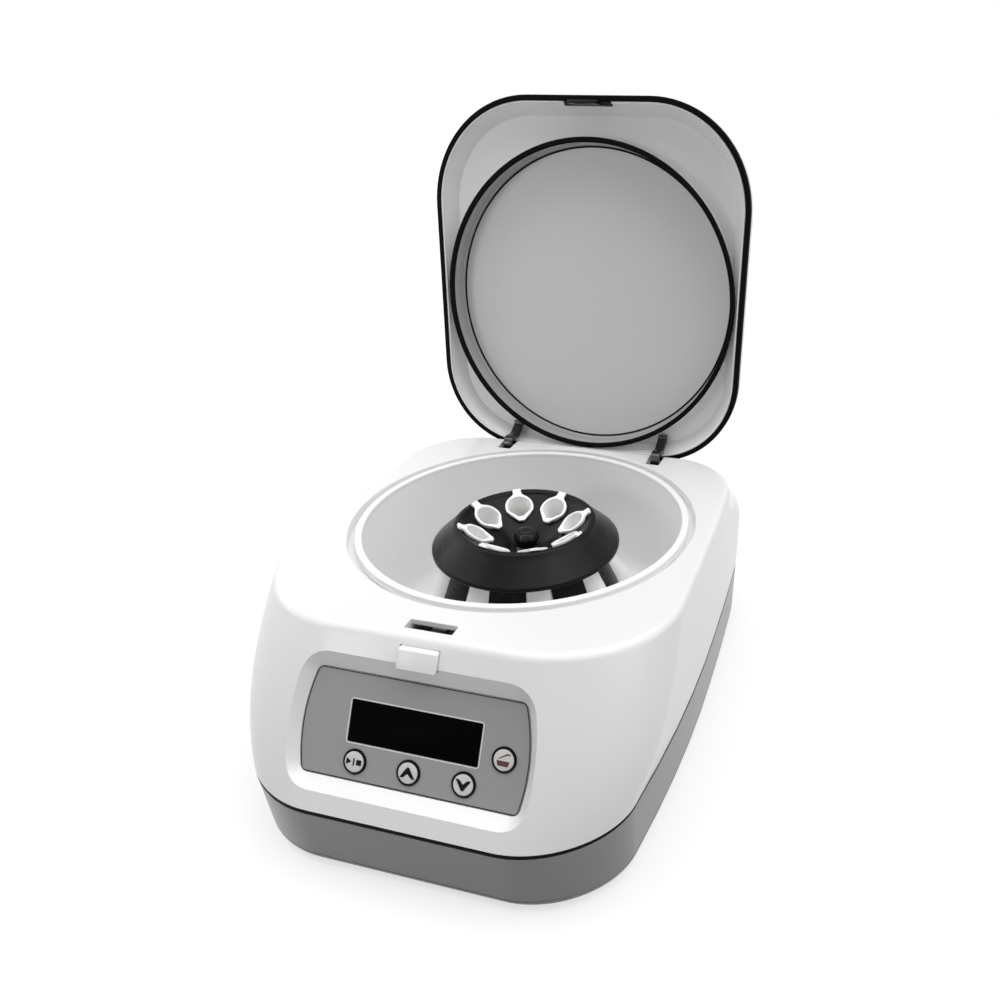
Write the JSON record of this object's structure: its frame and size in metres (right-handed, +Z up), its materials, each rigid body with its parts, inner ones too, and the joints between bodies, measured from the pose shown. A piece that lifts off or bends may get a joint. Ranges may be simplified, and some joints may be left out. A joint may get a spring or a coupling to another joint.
{
  "type": "mini centrifuge",
  "caption": "Benchtop mini centrifuge with a back-hinged lid standing open, an angle rotor that spins in a round chamber, and a sloped control panel.",
  "frame": {"origin": "where the rotor's axis meets the flat underside of the base", "axes": "+Z up along the rotor's axis, -Y towards the control panel, +X to the user's right"},
  "size_m": [0.2458, 0.3624, 0.3633],
  "materials": {
    "white_shell": "satin white moulded plastic",
    "grey_shell": "mid grey moulded plastic",
    "lid_tray": "light grey moulded plastic",
    "bowl": "light grey smooth plastic",
    "rubber": "black rubber",
    "rotor": "satin black moulded plastic",
    "sleeve": "milky plastic",
    "steel": "plain steel",
    "dark_steel": "dark coated metal",
    "panel": "grey printed film, left bare",
    "display": "dark clear window",
    "key": "light grey keys",
    "board": "green board",
    "black_plastic": "black plastic"
  },
  "bodies": {
    "base": {"upper_housing": "white_shell", "seam_gasket": "rubber", "base_tray": "grey_shell", "foot_front_left": "rubber", "foot_front_right": "rubber", "foot_back_left": "rubber", "foot_back_right": "rubber", "chamber_bowl": "bowl", "shaft_seal": "rubber", "motor_plate": "steel", "motor_isolator_1": "rubber", "motor_isolator_2": "rubber", "motor_isolator_3": "rubber", "motor_isolator_4": "rubber", "motor": "dark_steel", "hinge_pin_left": "steel", "hinge_pin_right": "steel", "latch_frame": "black_plastic", "lock_solenoid": "dark_steel", "control_panel": "panel", "display_window": "display", "display_board": "board", "circuit_board": "board", "power_supply": "dark_steel", "power_inlet": "black_plastic", "switch_frame": "black_plastic", "fuse_holder": "black_plastic"},
    "lid": {"lid_cover": "white_shell", "lid_liner": "lid_tray", "lid_edge_trim": "rubber", "lid_ring_gasket": "rubber", "lid_striker": "dark_steel", "hinge_arm_left": "dark_steel", "hinge_arm_right": "dark_steel"},
    "rotor": {"motor_shaft": "steel", "rotor_body": "rotor", "rotor_nut": "dark_steel", "tube_sleeve_1": "sleeve", "tube_sleeve_2": "sleeve", "tube_sleeve_3": "sleeve", "tube_sleeve_4": "sleeve", "tube_sleeve_5": "sleeve", "tube_sleeve_6": "sleeve", "tube_sleeve_7": "sleeve", "tube_sleeve_8": "sleeve"},
    "start_key": {"key_start": "key"},
    "up_key": {"key_up": "key"},
    "down_key": {"key_down": "key"},
    "lid_key": {"key_lid": "key"},
    "release": {"release_button": "white_shell"},
    "lock_bolt": {"latch_slide": "steel"},
    "rocker": {"power_switch": "black_plastic"}
  },
  "joints": [
    {"name": "lid_hinge", "type": "hinge", "parent": "base", "child": "lid", "pos_m": [0, 0.1122, 0.1187], "axis": [1, 0, 0], "range_deg": [0, 96.6]},
    {"name": "rotor_spin", "type": "hinge", "parent": "base", "child": "rotor", "pos_m": [0, 0, 0.08], "axis": [0, 0, 1], "continuous": true},
    {"name": "start_key_press", "type": "slide", "parent": "base", "child": "start_key", "axis": [0, 0.8562, -0.5167], "range_m": [0, 0.0006], "stiffness_N_per_m": 800},
    {"name": "up_key_press", "type": "slide", "parent": "base", "child": "up_key", "axis": [0, 0.8562, -0.5167], "range_m": [0, 0.0006], "stiffness_N_per_m": 800},
    {"name": "down_key_press", "type": "slide", "parent": "base", "child": "down_key", "axis": [0, 0.8562, -0.5167], "range_m": [0, 0.0006], "stiffness_N_per_m": 800},
    {"name": "lid_key_press", "type": "slide", "parent": "base", "child": "lid_key", "axis": [0, 0.8562, -0.5167], "range_m": [0, 0.0006], "stiffness_N_per_m": 800},
    {"name": "release_press", "type": "slide", "parent": "base", "child": "release", "axis": [0, 1, 0], "range_m": [0, 0.002], "stiffness_N_per_m": 600},
    {"name": "lock_bolt_throw", "type": "slide", "parent": "base", "child": "lock_bolt", "axis": [0, -1, 0], "range_m": [0, 0.0025], "stiffness_N_per_m": 300},
    {"name": "power_rocker", "type": "hinge", "parent": "base", "child": "rocker", "pos_m": [0.012, 0.1656, 0.021], "axis": [-1, 0, 0], "range_deg": [0, 18]}
  ]
}
